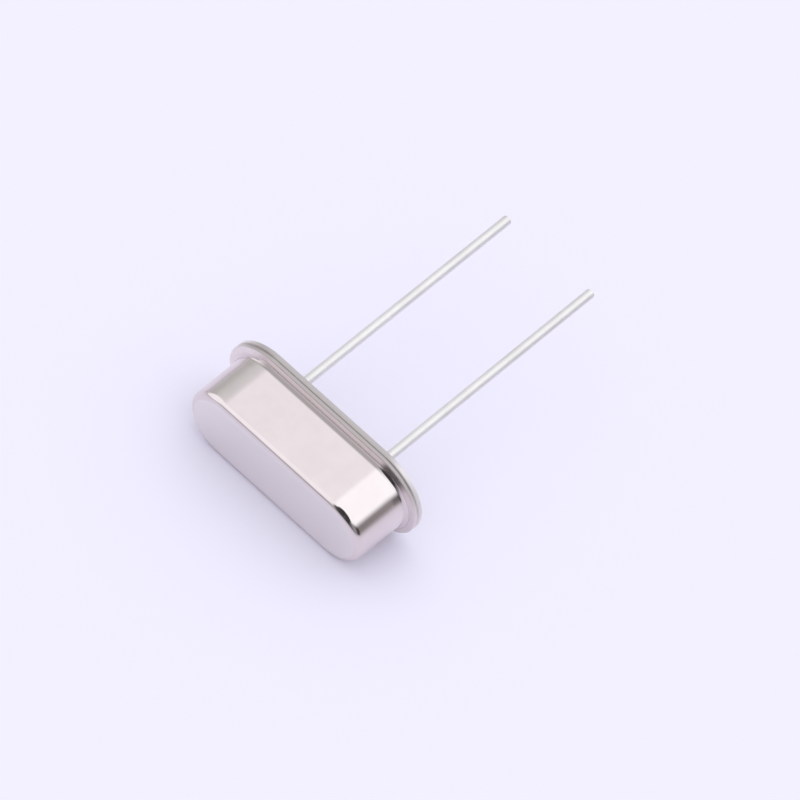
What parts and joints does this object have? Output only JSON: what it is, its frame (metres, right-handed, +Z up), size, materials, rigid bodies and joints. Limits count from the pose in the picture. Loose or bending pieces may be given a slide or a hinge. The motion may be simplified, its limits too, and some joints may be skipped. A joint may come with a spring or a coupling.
{
  "type": "crystal oscillator",
  "caption": "Low-profile quartz crystal oscillator: a flanged obround metal can welded to a base with straight parallel wire leads, lying on its side.",
  "frame": {"origin": "on the ground, under the middle of the part's box, as the part lies at rest on the flange's edge and the closed end's rim", "axes": "+X along the can's long side, +Y from the closed end towards the tips of the leads, +Z up"},
  "size_m": [0.0108, 0.0164, 0.0048],
  "materials": {
    "can_metal": "bright drawn nickel-plated sheet, unmarked",
    "base_metal": "stamped nickel-plated steel",
    "lead_wire": "tinned sealing-alloy wire",
    "seal_glass": "dark opaque sealing glass",
    "clip_metal": "thin rolled nickel-silver spring strip",
    "quartz": "lapped quartz, clear",
    "silver_film": "bright deposited silver",
    "conductive_glue": "silver-filled adhesive"
  },
  "bodies": {
    "root": {"can": "can_metal", "base": "base_metal", "seal_left": "seal_glass", "seal_right": "seal_glass", "lead_left": "lead_wire", "lead_right": "lead_wire", "clip_left": "clip_metal", "clip_right": "clip_metal", "quartz_blank": "quartz", "electrode_front": "silver_film", "electrode_rear": "silver_film", "glue_left": "conductive_glue", "glue_right": "conductive_glue"}
  },
  "joints": []
}
